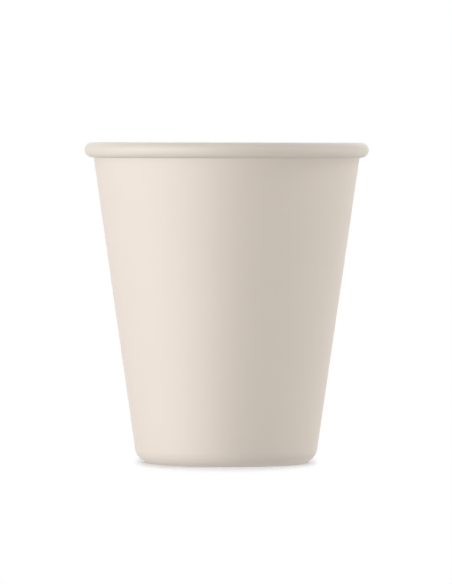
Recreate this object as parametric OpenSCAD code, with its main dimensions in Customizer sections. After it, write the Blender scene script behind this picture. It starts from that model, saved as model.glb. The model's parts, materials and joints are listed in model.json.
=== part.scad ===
// Reusable drinking cup, moulded in one piece: a tapered single wall with a round
// bead at the rim, and a base panel raised inside a foot ring. The cup stands on
// z = 0 with its axis on Z. It is one half section, drawn to the right of the axis
// and turned about it.

/* [Rim] */
// Outside diameter of the rim, the size that clip-on lids are made for
rim_d = 80; // [74:0.5:95]
// Radius of the round bead that forms the outer edge of the rim
bead_r = 2.12; // [1.8:0.02:2.6]
// Radius that rolls the inner face of the wall over into the top of the bead
lip_r = 1.54; // [1.3:0.02:1.7]
// Radius of the small hollow where the underside of the bead meets the wall
root_r = 0.5; // [0.2:0.1:1]

/* [Wall] */
// Height from the table to the top of the rim
cup_h = 90.2; // [60:0.2:140]
// Diameter at which the outer face, carried straight down, would meet the table
foot_d = 50.3; // [44:0.1:58]
// Thickness of the wall, measured square to it
wall_t = 1.5; // [1.2:0.1:1.8]

/* [Base] */
// Radius of the outer corner between the wall and the foot ring
corner_r = 4.5; // [3:0.25:6]
// Radius of the inner corner between the wall and the floor
floor_r = 3.5; // [2:0.25:5]
// Thickness of the base panel
base_t = 1.7; // [1.2:0.1:3]
// Width of the flat ring that touches the table
foot_w = 1.3; // [0.8:0.1:3]
// Height of the base panel's underside above the table
recess_h = 1.2; // [1:0.1:3]
// Slope of the recess side, in degrees from level
recess_slope = 45; // [35:5:50]
// Radius of the foot ring's inner edge
foot_edge_r = 0.8; // [0.4:0.1:1]
// Radius of the hollow where the recess side meets the base panel
recess_r = 1; // [0.4:0.1:1.2]

/* [Gate] */
// Diameter of the shallow dish round the moulding gate, under the base panel
dish_d = 7; // [5:0.5:12]
// Depth of that dish
dish_h = 0.4; // [0.3:0.1:0.7]
// Diameter of the gate mark left standing in the dish
gate_d = 1.6; // [1:0.2:3]
// Height of the gate mark, less than the depth of the dish
gate_h = 0.2; // [0.1:0.05:0.25]

/* [Hidden] */

// Number of sides that a whole circle is drawn with
$fn = 128;
// Depth by which a straight face enters the round that it runs into, so that they cross
bite = 0.0005;
// How far a cutting shape reaches past the face that it opens
past = 1;

// Centres of the bead and of the lip's round, which share the highest point of the rim
bead_c = [rim_d / 2 - bead_r, cup_h - bead_r];
lip_c = [bead_c.x, cup_h - lip_r];

// Taper of the wall from upright, such that its inner face runs into the lip's round
lip_reach = lip_c - [foot_d / 2, 0];
taper = atan2(lip_reach.x, lip_reach.y) - asin((lip_r - bite - wall_t) / norm(lip_reach));

// Unit vectors up along the wall and square out of it
up = [sin(taper), cos(taper)];
out = [cos(taper), -sin(taper)];

// Points of the wall's outer and inner faces at height z
function outer_face(z) = [foot_d / 2 + z * tan(taper), z];
function inner_face(z) = outer_face(z) - [wall_t / cos(taper), 0];

// Centre of a round of radius r that lies inside the face through p, level with p
function inside(p, r) = p - [(r - bite) / cos(taper), 0];

// Inner floor, and the centres of the outer and the inner corner's rounds
floor_z = recess_h + base_t;
corner_c = inside(outer_face(corner_r), corner_r);
floor_c = inside(inner_face(floor_z + floor_r), floor_r);

// Where the inner face of the wall ends at the lip
lip_end = lip_c - (lip_r - bite) * out;

// Point of the outer face level with the bead's centre, and the middle of the wall there
bead_foot = bead_c - ((bead_c - outer_face(bead_c.y)) * out) * out;
bead_mid = bead_foot - wall_t / 2 * out;

// Centre of the root's round, which touches the outer face and the bead
bead_off = (bead_c - bead_foot) * out;
root_drop = sqrt(pow(bead_r + root_r, 2) - pow(root_r - bead_off, 2));
root_c = bead_foot - root_drop * up + root_r * out;

// Direction square out of the recess side, into the space under the base
recess_out = [-sin(recess_slope), -cos(recess_slope)];

// Centres of the foot ring's inner edge and of the recess round, both touching the recess side
foot_edge_c = [corner_c.x - foot_w, foot_edge_r];
recess_rise = recess_h - recess_r - foot_edge_r;
recess_run = (foot_edge_r + recess_r - 2 * bite + recess_rise * cos(recess_slope)) / sin(recess_slope);
recess_c = foot_edge_c + [-recess_run, recess_rise];

// All that lies inside the outer face, up to the end of the wall
module outer_form() {
    polygon([
        [0, 0],
        [corner_c.x, 0],
        corner_c + (corner_r - bite) * out,
        bead_foot,
        bead_c,
        lip_c,
        lip_end,
        [0, lip_end.y]
    ]);
    translate(corner_c) circle(corner_r);
}

// The space for the drink, up to the end of the wall
module cavity_form() {
    polygon([
        [0, floor_z],
        [floor_c.x, floor_z],
        floor_c + (floor_r - bite) * out,
        lip_end,
        [0, lip_end.y]
    ]);
    translate(floor_c) circle(floor_r);
}

// The space under the base panel, with the foot ring's rounded inner edge left standing
module recess_form() {
    difference() {
        polygon([
            [0, -past],
            [foot_edge_c.x, -past],
            [foot_edge_c.x, 0],
            foot_edge_c + (foot_edge_r - bite) * recess_out,
            recess_c - (recess_r - bite) * recess_out,
            [recess_c.x, recess_h],
            [0, recess_h]
        ]);
        translate(foot_edge_c) circle(foot_edge_r);
    }
    translate(recess_c) circle(recess_r);
}

// The dish under the middle of the base panel, with 45 degree sides
module gate_dish_form() {
    polygon([
        [0, recess_h - past],
        [dish_d / 2, recess_h - past],
        [dish_d / 2, recess_h],
        [dish_d / 2 - dish_h, recess_h + dish_h],
        [0, recess_h + dish_h]
    ]);
}

// The stub where the gate was broken off, standing down from the dish
module gate_mark() {
    dish_z = recess_h + dish_h;
    polygon([
        [0, dish_z - gate_h],
        [gate_d / 2 - gate_h, dish_z - gate_h],
        [gate_d / 2, dish_z],
        [gate_d / 2, dish_z + gate_h],
        [0, dish_z + gate_h]
    ]);
}

// The bead, without its part above and inside the wall, where the lip's round takes over
module bead() {
    reach = 2 * bead_r;
    intersection() {
        translate(bead_c) circle(bead_r);
        polygon([
            bead_c + [0, reach],
            bead_c,
            bead_mid,
            bead_mid - reach * up,
            bead_c + [reach, -reach],
            bead_c + [reach, reach]
        ]);
    }
}

// The inner half of the rim, from the top of the bead to the inner face
module lip() {
    intersection() {
        translate(lip_c) circle(lip_r);
        square([lip_c.x, cup_h + past]);
    }
}

// The fill under the bead that leaves the root's small hollow
module root() {
    difference() {
        polygon([root_c, bead_c, bead_mid, root_c - (root_r + wall_t / 2) * out]);
        translate(root_c) circle(root_r + bite);
    }
}

// Half section of the whole cup
module section() {
    difference() {
        outer_form();
        cavity_form();
        recess_form();
        gate_dish_form();
    }
    bead();
    lip();
    root();
    gate_mark();
}

// The cup, in the warm grey beige of its plastic
module cup() {
    color([0.87, 0.83, 0.79])
        rotate_extrude($fn = 180)
            section();
}

cup();
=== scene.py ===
import cmath
import json
import math

import bpy
from bpy.props import FloatProperty, FloatVectorProperty, IntProperty, PointerProperty
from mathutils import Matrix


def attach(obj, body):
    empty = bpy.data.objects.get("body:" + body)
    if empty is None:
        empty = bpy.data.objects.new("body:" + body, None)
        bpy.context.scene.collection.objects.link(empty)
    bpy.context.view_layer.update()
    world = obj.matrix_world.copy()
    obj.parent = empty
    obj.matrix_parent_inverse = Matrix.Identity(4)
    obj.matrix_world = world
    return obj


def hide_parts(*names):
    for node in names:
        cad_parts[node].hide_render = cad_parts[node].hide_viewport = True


bl_info = {
    "name": "Reusable Cup",
    "version": (1, 0, 0),
    "blender": (4, 5, 0),
    "location": "View3D > Sidebar > Cup",
    "description": "Gives the cup its moulded surface and plastic, and sets a white stage for it",
    "category": "Add Mesh",
}

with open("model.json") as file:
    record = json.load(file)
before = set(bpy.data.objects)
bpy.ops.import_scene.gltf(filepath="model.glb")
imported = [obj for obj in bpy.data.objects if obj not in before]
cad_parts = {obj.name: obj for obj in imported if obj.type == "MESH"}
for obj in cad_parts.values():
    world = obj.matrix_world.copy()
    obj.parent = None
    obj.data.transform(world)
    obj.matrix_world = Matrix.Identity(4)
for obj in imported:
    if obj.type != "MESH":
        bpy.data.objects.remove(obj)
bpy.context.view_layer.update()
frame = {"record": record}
CAD_WIDTH, _, CAD_HEIGHT = frame["record"]["size"]["bbox_m"]

MM = 0.001
CUP_NAME = "cup_moulding"


# Properties

def length(name, description, default):
    """A size in metres."""
    return FloatProperty(
        name=name,
        description=description,
        default=default,
        min=0.0,
        precision=5,
        subtype="DISTANCE",
        unit="LENGTH",
    )


def angle(name, description, degrees):
    """An angle, shown in degrees."""
    return FloatProperty(
        name=name, description=description, default=math.radians(degrees), subtype="ANGLE"
    )


def share(name, description, default):
    """A number from 0 to 1."""
    return FloatProperty(
        name=name, description=description, default=default, min=0.0, max=1.0, subtype="FACTOR"
    )


def colour(name, description, default):
    """A colour in linear light."""
    return FloatVectorProperty(
        name=name,
        description=description,
        default=default,
        size=3,
        min=0.0,
        max=2.0,
        subtype="COLOR",
    )


def power(name, description, default):
    """The power of one lamp or of a group, in watts."""
    return FloatProperty(name=name, description=description, default=default, min=0.0, unit="POWER")


class CupSizes(bpy.types.PropertyGroup):
    """Sizes of the cup's half section"""

    rim_diameter: length("Rim diameter", "Outside diameter of the rim, across the bead", CAD_WIDTH)
    height: length("Height", "Height from the table to the top of the rim", CAD_HEIGHT)
    bead_radius: length("Bead radius", "Radius of the round bead at the rim", 2.12 * MM)
    lip_radius: length(
        "Lip radius", "Radius that rolls the inner face into the top of the bead", 1.54 * MM
    )
    root_radius: length("Root radius", "Radius of the hollow under the bead", 0.5 * MM)
    foot_diameter: length(
        "Foot diameter", "Diameter at which the outer face would meet the table", 50.3 * MM
    )
    wall: length("Wall", "Thickness of the wall, square to it", 1.5 * MM)
    corner_radius: length("Outer corner", "Radius between the wall and the foot ring", 4.5 * MM)
    floor_radius: length("Inner corner", "Radius between the wall and the floor", 3.5 * MM)
    base: length("Base", "Thickness of the base panel", 1.7 * MM)
    foot_width: length("Foot ring", "Width of the flat ring that touches the table", 1.3 * MM)
    recess_height: length("Recess height", "Height of the base panel's underside", 1.2 * MM)
    recess_slope: angle("Recess slope", "Slope of the recess side from level", 45)
    foot_edge_radius: length("Foot edge", "Radius of the foot ring's inner edge", 0.8 * MM)
    recess_radius: length("Recess hollow", "Radius where its side meets the base panel", 1 * MM)
    dish_diameter: length("Gate dish", "Diameter of the dish round the moulding gate", 7 * MM)
    dish_depth: length("Dish depth", "Depth of the dish round the moulding gate", 0.4 * MM)
    gate_diameter: length("Gate mark", "Diameter of the gate mark", 1.6 * MM)
    gate_height: length("Gate height", "Height of the gate mark", 0.2 * MM)
    segments: IntProperty(
        name="Segments", description="Sides of the mesh round the axis", default=256, min=32
    )


class CupFinish(bpy.types.PropertyGroup):
    """Colour and surface of the moulded plastic"""

    plastic: colour("Plastic", "Colour of the plastic", (0.74, 0.66, 0.585))
    # Rim: a slightly cooler tint of the plastic, also darker as painted shade on the bead and the
    # hollow under it
    rim: colour("Rim", "Colour of the plastic where it is thick, at the rim", (0.714, 0.653, 0.575))
    tone_change: share("Tone change", "How much the plastic's tone drifts over the surface", 0.02)
    roughness: share("Roughness", "Mean roughness of the surface", 0.52)
    roughness_change: share("Roughness change", "How far the roughness wanders from its mean", 0.08)
    grain_size: length("Grain size", "Size of the fine grain that the mould leaves", 0.5 * MM)
    grain_depth: length("Grain depth", "Depth of that grain", 0.004 * MM)
    wave_size: length("Wave size", "Size of the slow waves in the surface", 14 * MM)
    wave_depth: length("Wave depth", "Depth of the slow waves", 0.02 * MM)


class CupStage(bpy.types.PropertyGroup):
    """Floor, lamps and camera"""

    camera_distance: length("Camera distance", "Distance from the cup's axis to the camera", 1.6)
    camera_lens: FloatProperty(
        name="Lens", description="Focal length", default=350.0, subtype="DISTANCE_CAMERA"
    )
    camera_tilt: angle("Tilt", "How far the camera looks down", 1.509)
    camera_roll: angle("Roll", "How far the cup leans to the right", 0.098)
    camera_aside: length("Aside", "How far to the left of the axis the camera stands", 0.2 * MM)
    floor_seen: colour("Floor seen", "Floor colour by the cup, to the camera", (0.95, 0.95, 0.95))
    floor_glow: share("Floor glow", "Light from the floor on the cup, where 1 is white", 0.612)
    glow_near: share("Glow near the cup", "Share of that light which is left next to the foot", 0.9)
    glow_reach: length("Glow reach", "How far from the axis the floor's full light starts", 60 * MM)
    shadow_start: length("Shadow start", "How far from the axis it starts to fade", 21 * MM)
    shadow_across: length("Shadow across", "How far it reaches to the sides", 26.4 * MM)
    shadow_along: length("Shadow along", "How far it reaches to the front", 54 * MM)
    shadow_behind: share("Shadow behind", "Its reach to the front as a share of that behind", 0.55)
    surround: share("Surround", "Strength of an even light from all round", 0.0)
    back_power: power("Back power", "Power of the lamp behind the cup", 8.0)
    key_power: power("Key power", "Power of the wide lamps to the left", 32.6)
    fill_power: power("Fill power", "Power of the lamps to the right", 17.8)
    top_power: power("Top power", "Power of the lamp overhead", 1.2)


# Half section of the cup, from its sizes. A point of it is a complex number: its distance from
# the axis plus 1j times its height

ARC_STEP = math.radians(5)
ROW_SPACING = 5 * MM
SHARP_EDGE = math.radians(30)
LEVEL = 0.0
UP = math.pi / 2
DOWN = -math.pi / 2


def arc(centre, radius, start, end):
    """Points on a round from one angle to another, with both ends."""
    steps = max(2, math.ceil(abs(end - start) / ARC_STEP))
    turns = [start + (end - start) * i / steps for i in range(steps + 1)]
    return [centre + cmath.rect(radius, turn) for turn in turns]


def joined(stretches):
    """The stretches in a row, with points along the straight faces between them."""
    outline = list(stretches[0])
    for stretch in stretches[1:]:
        gap = stretch[0] - outline[-1]
        rows = max(1, round(abs(gap) / ROW_SPACING))
        outline += [outline[-1] + gap * i / rows for i in range(1, rows)]
        outline += stretch
    return outline


def bead_centre(cup):
    return complex(cup.rim_diameter / 2 - cup.bead_radius, cup.height - cup.bead_radius)


def lip_centre(cup):
    return complex(bead_centre(cup).real, cup.height - cup.lip_radius)


def wall_taper(cup):
    """Angle of the wall from upright, at which its inner face is a tangent of the lip's round."""
    reach = lip_centre(cup) - cup.foot_diameter / 2
    return math.pi / 2 - cmath.phase(reach) - math.asin((cup.lip_radius - cup.wall) / abs(reach))


def outer_face(cup, z):
    """Point of the wall's outer face at that height."""
    return complex(cup.foot_diameter / 2 + z * math.tan(wall_taper(cup)), z)


def within(cup, point, radius):
    """Centre, level with that point, of a round that touches the face through it from inside."""
    return point - radius / math.cos(wall_taper(cup))


def corner_centre(cup):
    return within(cup, outer_face(cup, cup.corner_radius), cup.corner_radius)


def underside(cup):
    """Stretches from the middle of the underside out to the foot ring."""
    dish_z = cup.recess_height + cup.dish_depth
    gate_z = dish_z - cup.gate_height
    gate_r = cup.gate_diameter / 2
    dish_r = cup.dish_diameter / 2

    # The recess side is a tangent of the foot ring's inner edge and of the hollow above it
    foot_edge = complex(corner_centre(cup).real - cup.foot_width, cup.foot_edge_radius)
    rise = cup.recess_height - cup.recess_radius - cup.foot_edge_radius
    both_radii = cup.foot_edge_radius + cup.recess_radius
    run = (both_radii + rise * math.cos(cup.recess_slope)) / math.sin(cup.recess_slope)
    recess = foot_edge + complex(-run, rise)
    return [
        [complex(0, gate_z), complex(gate_r - cup.gate_height, gate_z)],
        [complex(gate_r, dish_z)],
        [complex(dish_r - cup.dish_depth, dish_z)],
        [complex(dish_r, cup.recess_height)],
        arc(recess, cup.recess_radius, UP, UP - cup.recess_slope),
        arc(foot_edge, cup.foot_edge_radius, DOWN - cup.recess_slope, DOWN),
    ]


def outside_and_rim(cup):
    """Stretches from the foot ring up the outer face and over the rim."""
    taper = wall_taper(cup)
    out = cmath.rect(1, -taper)
    bead = bead_centre(cup)

    # The root's round touches the outer face and the bead
    bead_off = ((bead - outer_face(cup, bead.imag)) * out.conjugate()).real
    drop = math.sqrt((cup.bead_radius + cup.root_radius) ** 2 - (cup.root_radius - bead_off) ** 2)
    root = bead + (cup.root_radius - bead_off) * out - drop * 1j * out
    to_bead = cmath.phase(bead - root)
    return [
        arc(corner_centre(cup), cup.corner_radius, DOWN, LEVEL - taper),
        arc(root, cup.root_radius, math.pi - taper, to_bead),
        arc(bead, cup.bead_radius, to_bead - math.pi, UP),
        arc(lip_centre(cup), cup.lip_radius, UP, math.pi - taper),
    ]


def inner_floor(cup):
    """Stretches from the foot of the inner face to the middle of the floor."""
    taper = wall_taper(cup)
    floor_z = cup.recess_height + cup.base
    inner_face = outer_face(cup, floor_z + cup.floor_radius) - cup.wall / math.cos(taper)
    centre = within(cup, inner_face, cup.floor_radius)
    return [arc(centre, cup.floor_radius, LEVEL - taper, DOWN), [complex(0, floor_z)]]


def section_outline(cup):
    """Outline of the half section, from the middle of the underside to the middle of the floor."""
    return joined(underside(cup) + outside_and_rim(cup) + inner_floor(cup))


def revolved_mesh(name, outline, segments):
    """A closed mesh turned about the axis from a half section that starts and ends on it."""
    rings = outline[1:-1]
    turns = [cmath.rect(1, 2 * math.pi * j / segments) for j in range(segments)]
    verts = [(p.real * t.real, p.real * t.imag, p.imag) for p in rings for t in turns]
    under, over = len(verts), len(verts) + 1
    verts += [(0, 0, outline[0].imag), (0, 0, outline[-1].imag)]
    last = (len(rings) - 1) * segments
    faces = []
    for j in range(segments):
        k = (j + 1) % segments
        faces.append((under, k, j))
        for row in range(0, last, segments):
            faces.append((row + j, row + k, row + segments + k, row + segments + j))
        faces.append((last + j, last + k, over))
    mesh = bpy.data.meshes.new(name)
    mesh.from_pydata(verts, [], faces)
    mesh.shade_smooth()
    mesh.set_sharp_from_angle(angle=SHARP_EDGE)
    mesh.validate()
    return mesh


# Shader expressions

WHITE = (1.0, 1.0, 1.0, 1.0)


def both_ways(operation):
    """A Python operator and its reflected form, which add a Math node of that operation."""

    def forward(wire, other):
        return wire.math(operation, wire, other)

    def reflected(wire, other):
        return wire.math(operation, other, wire)

    return forward, reflected


class Wire:
    """A node's output in a Python expression, where each operator adds its Math node.

    a | b is the larger of the two.
    """

    def __init__(self, graph, socket):
        self.graph = graph
        self.socket = socket

    def math(self, operation, first, second):
        settings = {"operation": operation}
        return self.graph.node("ShaderNodeMath", settings, {0: first, 1: second})["Value"]

    def __abs__(self):
        return self.math("ABSOLUTE", self, 0)

    __add__, __radd__ = both_ways("ADD")
    __sub__, __rsub__ = both_ways("SUBTRACT")
    __mul__, __rmul__ = both_ways("MULTIPLY")
    __truediv__, __rtruediv__ = both_ways("DIVIDE")
    __pow__, __rpow__ = both_ways("POWER")
    __or__, __ror__ = both_ways("MAXIMUM")


class Graph:
    """The nodes of one material or world."""

    def __init__(self, owner):
        owner.use_nodes = True
        self.tree = owner.node_tree
        self.tree.nodes.clear()

    def node(self, kind, settings=None, inputs=None):
        """Add a node, with its settings first, then its inputs; give its outputs by name."""
        made = self.tree.nodes.new(kind)
        for name, value in (settings or {}).items():
            setattr(made, name, value)
        for key, value in (inputs or {}).items():
            socket = self.socket(made, key)
            if isinstance(value, Wire):
                self.tree.links.new(value.socket, socket)
            else:
                socket.default_value = value
        return {out.name: Wire(self, out) for out in made.outputs if out.enabled}

    @staticmethod
    def socket(node, key):
        """The input of that number, or the one in use that has that name."""
        if isinstance(key, int):
            return node.inputs[key]
        return next(s for s in node.inputs if s.enabled and s.name == key)

    def noise(self, place, size, detail=2.0):
        """Smooth noise of that feature size in metres, from 0 to 1."""
        inputs = {"Vector": place, "Scale": 1 / size, "Detail": detail}
        return self.node("ShaderNodeTexNoise", {}, inputs)["Fac"]

    def scaled(self, place, factors):
        """A place with each of its axes multiplied."""
        inputs = {0: place, 1: factors}
        return self.node("ShaderNodeVectorMath", {"operation": "MULTIPLY"}, inputs)["Vector"]

    def distance(self, place):
        """How far a place is from the origin."""
        return self.node("ShaderNodeVectorMath", {"operation": "LENGTH"}, {0: place})["Value"]

    def mixed(self, factor, first, second):
        """A colour between two colours."""
        inputs = {"Factor": factor, "A": first, "B": second}
        return self.node("ShaderNodeMix", {"data_type": "RGBA"}, inputs)["Result"]

    def tinted(self, tint, factor):
        """A colour times a number that varies."""
        inputs = {0: tint, "Scale": factor}
        return self.node("ShaderNodeVectorMath", {"operation": "SCALE"}, inputs)["Vector"]

    def smooth(self, value):
        """A number eased from 0 to 1, and held there outside that range."""
        settings = {"interpolation_type": "SMOOTHSTEP"}
        return self.node("ShaderNodeMapRange", settings, {"Value": value})["Result"]

    def shaders(self, factor, first, second):
        """A shader between two shaders."""
        return self.node("ShaderNodeMixShader", {}, {0: factor, 1: first, 2: second})["Shader"]

    def glowing(self, strength):
        """White light of that strength."""
        inputs = {"Color": WHITE, "Strength": strength}
        return self.node("ShaderNodeEmission", {}, inputs)["Emission"]

    def bump(self, height, depth, normal=None):
        """A normal for a height from 0 to 1 that stands for that depth in metres."""
        inputs = {"Height": height, "Distance": depth}
        if normal:
            inputs["Normal"] = normal
        return self.node("ShaderNodeBump", {}, inputs)["Normal"]


def rgba(rgb):
    """A colour with full alpha."""
    return (*rgb, 1.0)


# Materials

PLASTIC_IOR = 1.49

# Patches of tone, and flow marks, which are stretched up the wall
DRIFT_SIZE = 22 * MM
DRIFT_DETAIL = 3.0
FLOW_SIZE = 2.5 * MM
FLOW_SQUEEZE = (1.0, 1.0, 0.06)
WAVE_DETAIL = 1.0

# How much of the change in tone and in roughness each noise brings
TONE_BY_DRIFT = 1.4
TONE_BY_FLOW = 0.6
ROUGHNESS_BY_DRIFT = 0.6
ROUGHNESS_BY_GRAIN = 0.4

# Where the rim's tint and painted shade start below the top, and the height they come in over, in
# bead radii
RIM_TINT_AND_SHADE_START = 2.6
RIM_TINT_AND_SHADE_FADE = 0.6

# Power that shapes the shadow's edge on the floor: 2 is an ellipse, and more is squarer
SHADOW_SQUARENESS = 2.4


def cup_plastic(finish, sizes):
    """Moulded plastic, even but for a drift in tone, flow marks, the mould's grain and a rim tint
    with painted shade.
    """
    material = bpy.data.materials.new("cup_plastic")
    graph = Graph(material)
    place = graph.node("ShaderNodeTexCoord")["Object"]
    drift = graph.noise(place, DRIFT_SIZE, DRIFT_DETAIL)
    flow = graph.noise(graph.scaled(place, FLOW_SQUEEZE), FLOW_SIZE)
    grain = graph.noise(place, finish.grain_size)
    waves = graph.noise(place, finish.wave_size, WAVE_DETAIL)
    height = graph.node("ShaderNodeSeparateXYZ", {}, {"Vector": place})["Z"]
    # Painted shade: from the hollow under the bead up over the rim, the colour turns to the darker,
    # cooler rim colour
    above_start = height - sizes.height + RIM_TINT_AND_SHADE_START * sizes.bead_radius
    rim_tint_and_shade = graph.smooth(above_start / (RIM_TINT_AND_SHADE_FADE * sizes.bead_radius))
    mean = graph.mixed(rim_tint_and_shade, rgba(finish.plastic), rgba(finish.rim))
    tone = 1 + finish.tone_change * (TONE_BY_DRIFT * drift + TONE_BY_FLOW * flow - 1)
    wander = ROUGHNESS_BY_DRIFT * drift + ROUGHNESS_BY_GRAIN * grain - 0.5
    surface = graph.node("ShaderNodeBsdfPrincipled", {}, {
        "Base Color": graph.tinted(mean, tone),
        "Roughness": finish.roughness + finish.roughness_change * wander,
        "IOR": PLASTIC_IOR,
        "Normal": graph.bump(grain, finish.grain_depth, graph.bump(waves, finish.wave_depth)),
    })["BSDF"]
    graph.node("ShaderNodeOutputMaterial", {}, {"Surface": surface})
    return material


def white_to_rays(graph, glow, rays):
    """Plain white, strength 1, to rays of those kinds, and a glow to the light that spreads."""
    path = graph.node("ShaderNodeLightPath")
    seen = path[rays[0]]
    for kind in rays[1:]:
        seen = seen | path[kind]
    return graph.shaders(seen, glow, graph.glowing(1.0))


def shadow_edge(graph, place, stage):
    """How far the floor is out of the shadow that the camera sees, from 0 by the foot to 1."""
    x, y, _ = graph.node("ShaderNodeSeparateXYZ", {}, {"Vector": place}).values()
    along = ((0 - y) | 0) + stage.shadow_behind * (y | 0)
    across_part = abs(x / stage.shadow_across) ** SHADOW_SQUARENESS
    along_part = (along / stage.shadow_along) ** SHADOW_SQUARENESS
    squarish = (across_part + along_part) ** (1 / SHADOW_SQUARENESS)
    past_start = ((x * x + along * along) ** 0.5 / stage.shadow_start - 1) | 0
    to_end = ((1 - squarish) | 0) * (stage.shadow_along / stage.shadow_start)
    return graph.smooth(past_start / (past_start + to_end))


def floor_light(graph, place, stage):
    """The floor's light on the cup, a little weaker near the foot, where the floor is in shadow."""
    away = (graph.distance(place) - stage.shadow_start) / (stage.glow_reach - stage.shadow_start)
    near = graph.glowing(stage.glow_near * stage.floor_glow)
    return graph.shaders(graph.smooth(away), near, graph.glowing(stage.floor_glow))


def floor_material(stage):
    """A floor seen as white from above, with the cup's shadow, and not seen from below."""
    material = bpy.data.materials.new("stage_floor")
    graph = Graph(material)
    place = graph.node("ShaderNodeTexCoord")["Object"]
    lit = graph.node("ShaderNodeBsdfDiffuse", {}, {"Color": rgba(stage.floor_seen)})["BSDF"]
    seen = graph.shaders(shadow_edge(graph, place, stage), lit, graph.glowing(1.0))
    light = floor_light(graph, place, stage)
    glow = white_to_rays(graph, light, ["Is Glossy Ray", "Is Transmission Ray"])
    above = graph.shaders(graph.node("ShaderNodeLightPath")["Is Camera Ray"], glow, seen)
    below = graph.node("ShaderNodeBsdfTransparent")["BSDF"]
    surface = graph.shaders(graph.node("ShaderNodeNewGeometry")["Backfacing"], above, below)
    graph.node("ShaderNodeOutputMaterial", {}, {"Surface": surface})
    return material


# Stage

# Half the floor's width, in metres, and its number of squares along each side
FLOOR_REACH = 3.0
FLOOR_CELLS = 12

# Share of the power of the left and the right lamps that the low one of the two gives
KEY_LOW = 0.784
FILL_LOW = 0.654


def place_object(name, data):
    """Put an object into the scene, in place of an earlier one of that name."""
    old = bpy.data.objects.get(name)
    if old:
        bpy.data.objects.remove(old)
    made = bpy.data.objects.new(name, data)
    bpy.context.scene.collection.objects.link(made)
    return made


def soft_lamp(name, watts, place, size, highlight=True):
    """A rectangular lamp that faces the middle of the cup.

    Its place is an azimuth and an elevation, in degrees, and a distance. Azimuth 0 is the
    camera's side and 90 its right. Its size is a width and a height.
    """
    azimuth, elevation, distance = place
    turn, rise = math.radians(azimuth), math.radians(elevation)
    across = distance * math.cos(rise)
    data = bpy.data.lights.new(name, "AREA")
    data.shape = "RECTANGLE"
    data.size, data.size_y = size
    data.energy = watts
    lamp = place_object(name, data)
    height = distance * math.sin(rise) + CAD_HEIGHT / 2
    lamp.location = (across * math.sin(turn), -across * math.cos(turn), height)
    lamp.rotation_euler = (math.radians(90 - elevation), 0, turn)
    lamp.visible_camera = False
    lamp.visible_glossy = highlight


def soft_lamps(stage):
    """Two wide lamps to the left, two smaller ones to the right, one overhead and one behind."""
    key, fill = stage.key_power, stage.fill_power
    soft_lamp("key_lamp_low", KEY_LOW * key, (-50, 5, 1.5), (2.4, 0.6))
    soft_lamp("key_lamp_high", (1 - KEY_LOW) * key, (-50, 45, 1.5), (2.4, 0.6))
    soft_lamp("fill_lamp_low", FILL_LOW * fill, (97, 5, 1.5), (0.9, 0.6), highlight=False)
    soft_lamp("fill_lamp_high", (1 - FILL_LOW) * fill, (90, 45, 1.5), (0.5, 0.6), highlight=False)
    soft_lamp("top_lamp", stage.top_power, (0, 90, 1.0), (1.6, 1.6))
    soft_lamp("back_lamp", stage.back_power, (180, 35, 1.5), (2.0, 1.0))


def surround(stage):
    """White all round to the camera, and an even light of its own strength for the cup."""
    world = bpy.data.worlds.new("surround")
    bpy.context.scene.world = world
    graph = Graph(world)
    glow = graph.glowing(stage.surround)
    surface = white_to_rays(graph, glow, ["Is Camera Ray", "Is Glossy Ray", "Is Transmission Ray"])
    graph.node("ShaderNodeOutputWorld", {}, {"Surface": surface})


def floor(stage):
    """A wide level floor under the cup."""
    steps = [FLOOR_REACH * (2 * i / FLOOR_CELLS - 1) for i in range(FLOOR_CELLS + 1)]
    verts = [(x, y, 0) for y in steps for x in steps]
    rows = FLOOR_CELLS + 1
    corners = [row * rows + col for row in range(FLOOR_CELLS) for col in range(FLOOR_CELLS)]
    mesh = bpy.data.meshes.new("stage_floor")
    mesh.from_pydata(verts, [], [(c, c + 1, c + rows + 1, c + rows) for c in corners])
    mesh.materials.append(floor_material(stage))
    place_object("stage_floor", mesh)


def camera(stage):
    """A long lens level with the rim, in front of the cup."""
    data = bpy.data.cameras.new("camera")
    data.lens = stage.camera_lens
    data.sensor_width = 36.0
    data.clip_end = 20.0
    made = place_object("camera", data)
    made.location = (-stage.camera_aside, -stage.camera_distance, CAD_HEIGHT)
    made.rotation_euler = (math.pi / 2 - stage.camera_tilt, -stage.camera_roll, 0)
    bpy.context.scene.camera = made


# Operators

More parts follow.
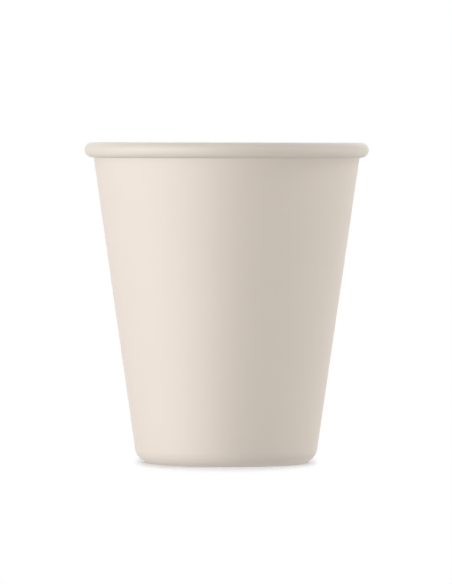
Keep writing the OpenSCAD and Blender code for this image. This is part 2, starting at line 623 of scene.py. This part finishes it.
class CUP_OT_mould(bpy.types.Operator):
    """Build the cup's smooth surface in the place of its solid"""

    bl_idname = "cup.mould"
    bl_label = "Mould the Cup"

    def execute(self, context):
        scene = context.scene
        outline = section_outline(scene.cup_sizes)
        mesh = revolved_mesh(CUP_NAME, outline, scene.cup_sizes.segments)
        mesh.materials.append(cup_plastic(scene.cup_finish, scene.cup_sizes))
        cup = place_object(CUP_NAME, mesh)
        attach(cup, "root")
        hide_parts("cup")
        return {"FINISHED"}


class CUP_OT_stage(bpy.types.Operator):
    """Set the floor, the lamps, the surround and the camera"""

    bl_idname = "cup.stage"
    bl_label = "Set the Stage"

    def execute(self, context):
        scene = context.scene
        stage = scene.cup_stage
        scene.view_settings.view_transform = "Standard"
        surround(stage)
        floor(stage)
        soft_lamps(stage)
        camera(stage)
        return {"FINISHED"}


class CUP_PT_panel(bpy.types.Panel):
    """Sizes, finish and stage of the cup, with the operators that build them"""

    bl_idname = "CUP_PT_panel"
    bl_label = "Reusable Cup"
    bl_space_type = "VIEW_3D"
    bl_region_type = "UI"
    bl_category = "Cup"

    def draw(self, context):
        scene = context.scene
        for group, operator in (
            (scene.cup_sizes, None),
            (scene.cup_finish, CUP_OT_mould),
            (scene.cup_stage, CUP_OT_stage),
        ):
            box = self.layout.box()
            for name in group.__annotations__:
                box.prop(group, name)
            if operator:
                box.operator(operator.bl_idname)


CLASSES = (CupSizes, CupFinish, CupStage, CUP_OT_mould, CUP_OT_stage, CUP_PT_panel)


def register():
    for cls in CLASSES:
        bpy.utils.register_class(cls)
    bpy.types.Scene.cup_sizes = PointerProperty(type=CupSizes)
    bpy.types.Scene.cup_finish = PointerProperty(type=CupFinish)
    bpy.types.Scene.cup_stage = PointerProperty(type=CupStage)


def unregister():
    del bpy.types.Scene.cup_stage
    del bpy.types.Scene.cup_finish
    del bpy.types.Scene.cup_sizes
    for cls in reversed(CLASSES):
        bpy.utils.unregister_class(cls)


def main():
    register()
    bpy.ops.cup.mould()
    bpy.ops.cup.stage()


if __name__ == "__main__":
    main()
